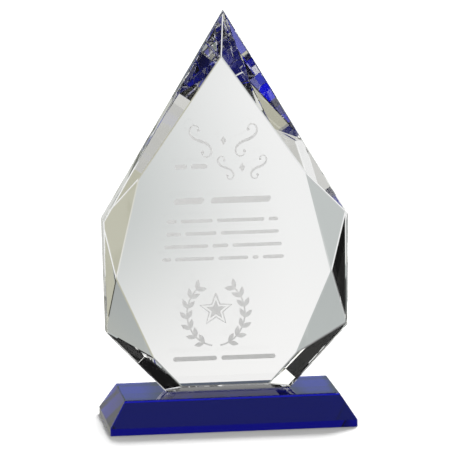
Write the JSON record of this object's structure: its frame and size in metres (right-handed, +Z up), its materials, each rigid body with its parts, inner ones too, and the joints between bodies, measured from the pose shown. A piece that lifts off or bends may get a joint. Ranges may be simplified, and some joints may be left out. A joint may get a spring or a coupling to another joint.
{
  "type": "crystal award",
  "caption": "Clear diamond-shaped crystal award plate with bevelled back facets, bonded upright on a blue crystal base with sloping sides.",
  "frame": {"origin": "middle of the underside of the base", "axes": "+Z up towards the tip, +X to the right seen from the front, flat front face towards -Y, bevelled back towards +Y"},
  "size_m": [0.14, 0.064, 0.235],
  "materials": {
    "blue_crystal": "polished",
    "clear_adhesive": "clear",
    "clear_crystal": "polished"
  },
  "bodies": {
    "root": {"blue_base": "blue_crystal", "bond_film": "clear_adhesive", "crystal_plate": "clear_crystal"}
  },
  "joints": []
}
